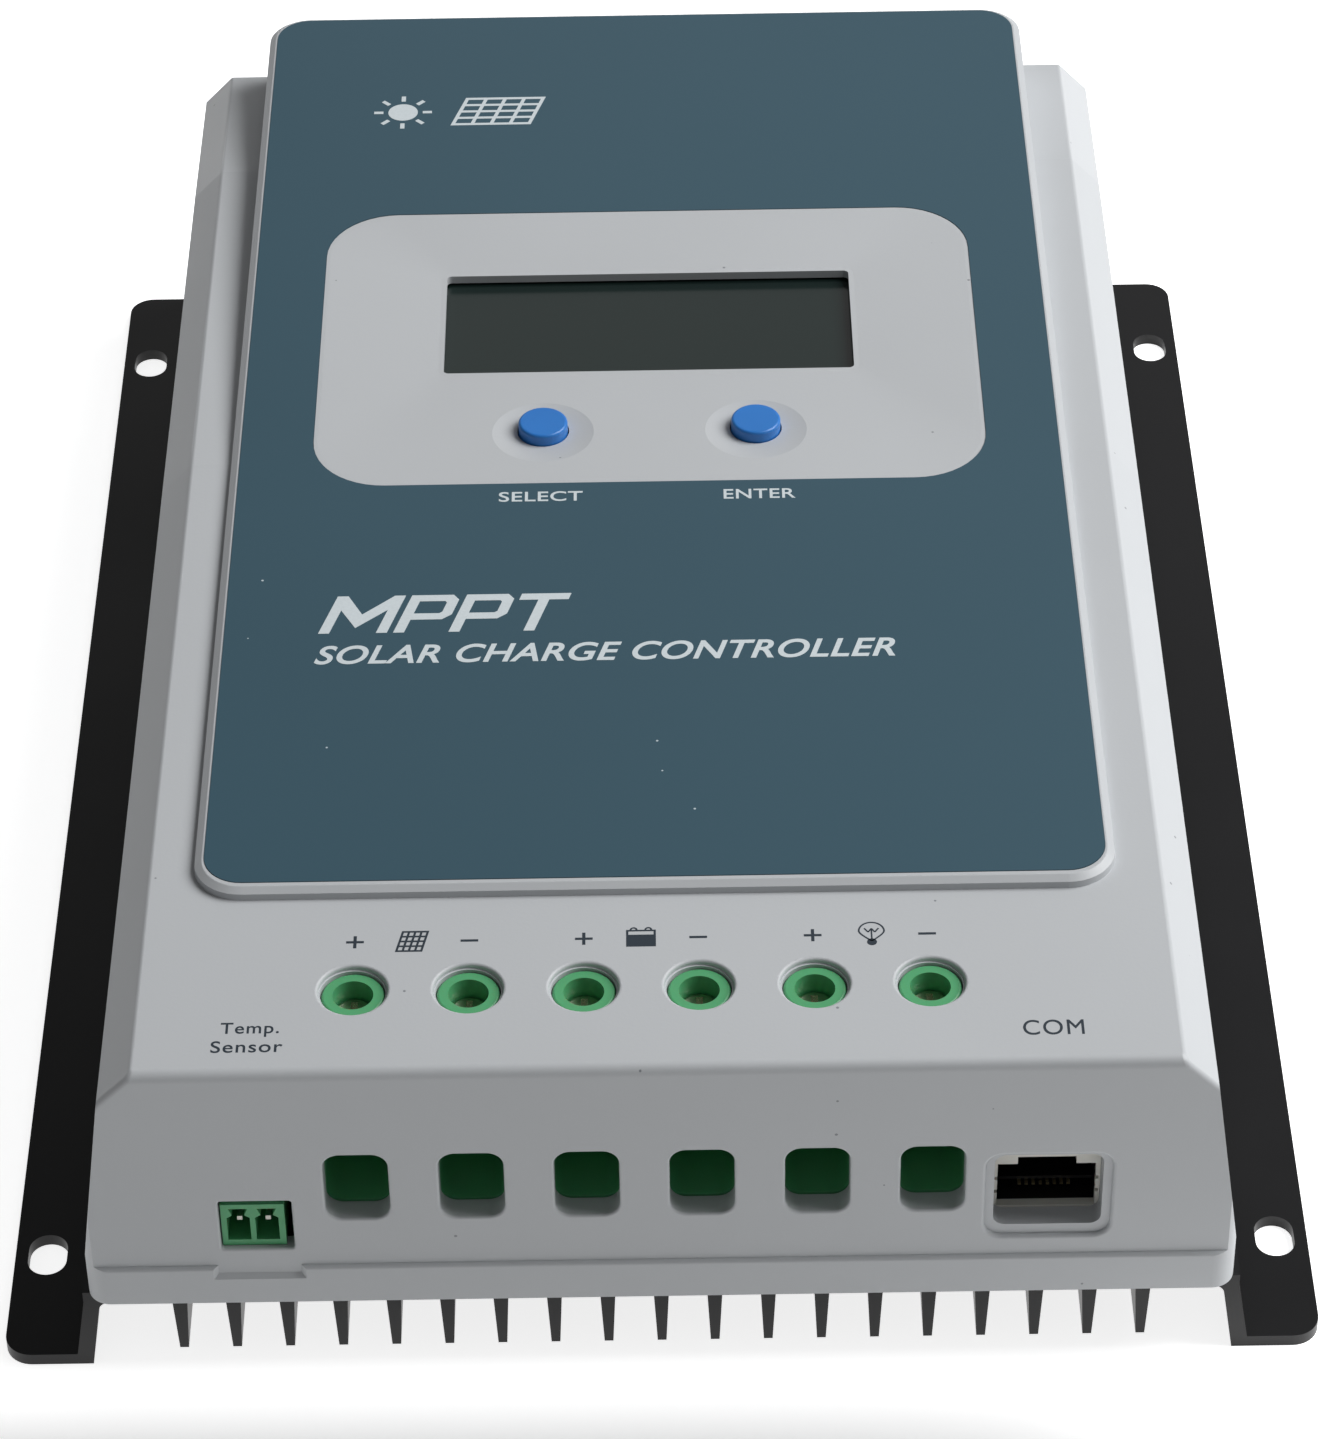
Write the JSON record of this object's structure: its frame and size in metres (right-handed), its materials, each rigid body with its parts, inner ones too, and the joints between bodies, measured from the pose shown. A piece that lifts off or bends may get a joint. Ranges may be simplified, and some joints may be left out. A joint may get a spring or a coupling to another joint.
{
  "type": "solar charge controller",
  "caption": "Wall-mounted solar charge controller: finned black heatsink with slotted flanges, grey moulded cover, display with push buttons, screw-clamp cable terminals and two sockets.",
  "frame": {"origin": "middle of the wall face, the plane of both flange undersides", "axes": "+X to the right as the front is read, +Y up the wall away from the cable terminals, +Z out of the wall"},
  "size_m": [0.18, 0.252, 0.0584],
  "materials": {
    "sink_anodised": "black anodised aluminium extrusion, fine die lines along its length",
    "shell_abs": "light grey injection moulded ABS with a fine spark texture",
    "label_film": "dark blue-grey screen printed polycarbonate film, satin",
    "display_glass": "dark grey-green liquid crystal display glass",
    "white_plastic": "white moulded nylon",
    "board_laminate": "glass epoxy laminate with green solder mask",
    "zinc_steel": "zinc plated steel",
    "button_blue": "blue moulded ABS, satin",
    "black_plastic": "black moulded thermoplastic",
    "bezel_ivory": "pale ivory moulded thermoplastic",
    "ribbon_grey": "grey PVC ribbon",
    "brass_plain": "turned brass",
    "tinned_copper": "tin plated copper",
    "gold_contact": "gold plated phosphor bronze",
    "terminal_green": "green moulded polyamide",
    "ferrite_core": "coated powder iron core",
    "copper_wire": "enamelled copper wire",
    "capacitor_sleeve": "black shrink sleeve over aluminium can",
    "silicone_pad": "grey silicone thermal pad",
    "nickel_steel": "nickel plated steel",
    "film_red": "red epoxy film capacitor case"
  },
  "bodies": {
    "base": {"heatsink": "sink_anodised", "cover": "shell_abs", "front_label": "label_film", "lcd_glass": "display_glass", "lcd_backlight": "white_plastic", "display_board": "board_laminate", "display_board_screws": "zinc_steel", "select_switch": "black_plastic", "enter_switch": "black_plastic", "display_header": "white_plastic", "main_header": "white_plastic", "ribbon_cable": "ribbon_grey", "main_board": "board_laminate", "board_standoffs": "brass_plain", "board_screws": "zinc_steel", "cover_screws": "zinc_steel", "clamp_screws": "zinc_steel", "contact_bars": "tinned_copper", "com_jack": "black_plastic", "com_bezel": "bezel_ivory", "com_contacts": "gold_contact", "temp_header": "terminal_green", "temp_pins": "tinned_copper", "inductor_core": "ferrite_core", "inductor_winding": "copper_wire", "capacitors": "capacitor_sleeve", "mosfets": "black_plastic", "thermal_pad": "silicone_pad", "mosfet_clamp": "zinc_steel", "control_chip": "black_plastic", "driver_chips": "black_plastic", "shunt_resistors": "tinned_copper", "film_capacitors": "film_red", "pv_plus_terminal": "terminal_green", "pv_minus_terminal": "terminal_green", "battery_plus_terminal": "terminal_green", "battery_minus_terminal": "terminal_green", "load_plus_terminal": "terminal_green", "load_minus_terminal": "terminal_green"},
    "select_key": {"select_button": "button_blue", "select_switch_stem": "black_plastic"},
    "enter_key": {"enter_button": "button_blue", "enter_switch_stem": "black_plastic"},
    "pv_plus_clamp_screw": {"pv_plus_screw": "nickel_steel"},
    "pv_plus_clamp_cage": {"pv_plus_cage": "nickel_steel"},
    "pv_minus_clamp_screw": {"pv_minus_screw": "nickel_steel"},
    "pv_minus_clamp_cage": {"pv_minus_cage": "nickel_steel"},
    "battery_plus_clamp_screw": {"battery_plus_screw": "nickel_steel"},
    "battery_plus_clamp_cage": {"battery_plus_cage": "nickel_steel"},
    "battery_minus_clamp_screw": {"battery_minus_screw": "nickel_steel"},
    "battery_minus_clamp_cage": {"battery_minus_cage": "nickel_steel"},
    "load_plus_clamp_screw": {"load_plus_screw": "nickel_steel"},
    "load_plus_clamp_cage": {"load_plus_cage": "nickel_steel"},
    "load_minus_clamp_screw": {"load_minus_screw": "nickel_steel"},
    "load_minus_clamp_cage": {"load_minus_cage": "nickel_steel"}
  },
  "joints": [
    {"name": "select_press", "type": "slide", "parent": "base", "child": "select_key", "axis": [0, 0, -1], "range_m": [0, 0.0005], "stiffness_N_per_m": 4000},
    {"name": "enter_press", "type": "slide", "parent": "base", "child": "enter_key", "axis": [0, 0, -1], "range_m": [0, 0.0005], "stiffness_N_per_m": 4000},
    {"name": "pv_plus_screw_turn", "type": "hinge", "parent": "base", "child": "pv_plus_clamp_screw", "pos_m": [-0.04003, -0.1096, 0.051], "axis": [0, 0, -1], "range_deg": [0, 2880.1]},
    {"name": "pv_plus_cage_lift", "type": "slide", "parent": "base", "child": "pv_plus_clamp_cage", "axis": [0, 0, 1], "range_m": [0, 0.0056]},
    {"name": "pv_minus_screw_turn", "type": "hinge", "parent": "base", "child": "pv_minus_clamp_screw", "pos_m": [-0.02479, -0.1096, 0.051], "axis": [0, 0, -1], "range_deg": [0, 2880.1]},
    {"name": "pv_minus_cage_lift", "type": "slide", "parent": "base", "child": "pv_minus_clamp_cage", "axis": [0, 0, 1], "range_m": [0, 0.0056]},
    {"name": "battery_plus_screw_turn", "type": "hinge", "parent": "base", "child": "battery_plus_clamp_screw", "pos_m": [-0.00955, -0.1096, 0.051], "axis": [0, 0, -1], "range_deg": [0, 2880.1]},
    {"name": "battery_plus_cage_lift", "type": "slide", "parent": "base", "child": "battery_plus_clamp_cage", "axis": [0, 0, 1], "range_m": [0, 0.0056]},
    {"name": "battery_minus_screw_turn", "type": "hinge", "parent": "base", "child": "battery_minus_clamp_screw", "pos_m": [0.00569, -0.1096, 0.051], "axis": [0, 0, -1], "range_deg": [0, 2880.1]},
    {"name": "battery_minus_cage_lift", "type": "slide", "parent": "base", "child": "battery_minus_clamp_cage", "axis": [0, 0, 1], "range_m": [0, 0.0056]},
    {"name": "load_plus_screw_turn", "type": "hinge", "parent": "base", "child": "load_plus_clamp_screw", "pos_m": [0.02093, -0.1096, 0.051], "axis": [0, 0, -1], "range_deg": [0, 2880.1]},
    {"name": "load_plus_cage_lift", "type": "slide", "parent": "base", "child": "load_plus_clamp_cage", "axis": [0, 0, 1], "range_m": [0, 0.0056]},
    {"name": "load_minus_screw_turn", "type": "hinge", "parent": "base", "child": "load_minus_clamp_screw", "pos_m": [0.03617, -0.1096, 0.051], "axis": [0, 0, -1], "range_deg": [0, 2880.1]},
    {"name": "load_minus_cage_lift", "type": "slide", "parent": "base", "child": "load_minus_clamp_cage", "axis": [0, 0, 1], "range_m": [0, 0.0056]}
  ],
  "couplings": [
    {"joint": "pv_plus_screw_turn", "follows": "pv_plus_cage_lift", "rad_per_m": 8976},
    {"joint": "pv_minus_screw_turn", "follows": "pv_minus_cage_lift", "rad_per_m": 8976},
    {"joint": "battery_plus_screw_turn", "follows": "battery_plus_cage_lift", "rad_per_m": 8976},
    {"joint": "battery_minus_screw_turn", "follows": "battery_minus_cage_lift", "rad_per_m": 8976},
    {"joint": "load_plus_screw_turn", "follows": "load_plus_cage_lift", "rad_per_m": 8976},
    {"joint": "load_minus_screw_turn", "follows": "load_minus_cage_lift", "rad_per_m": 8976}
  ]
}
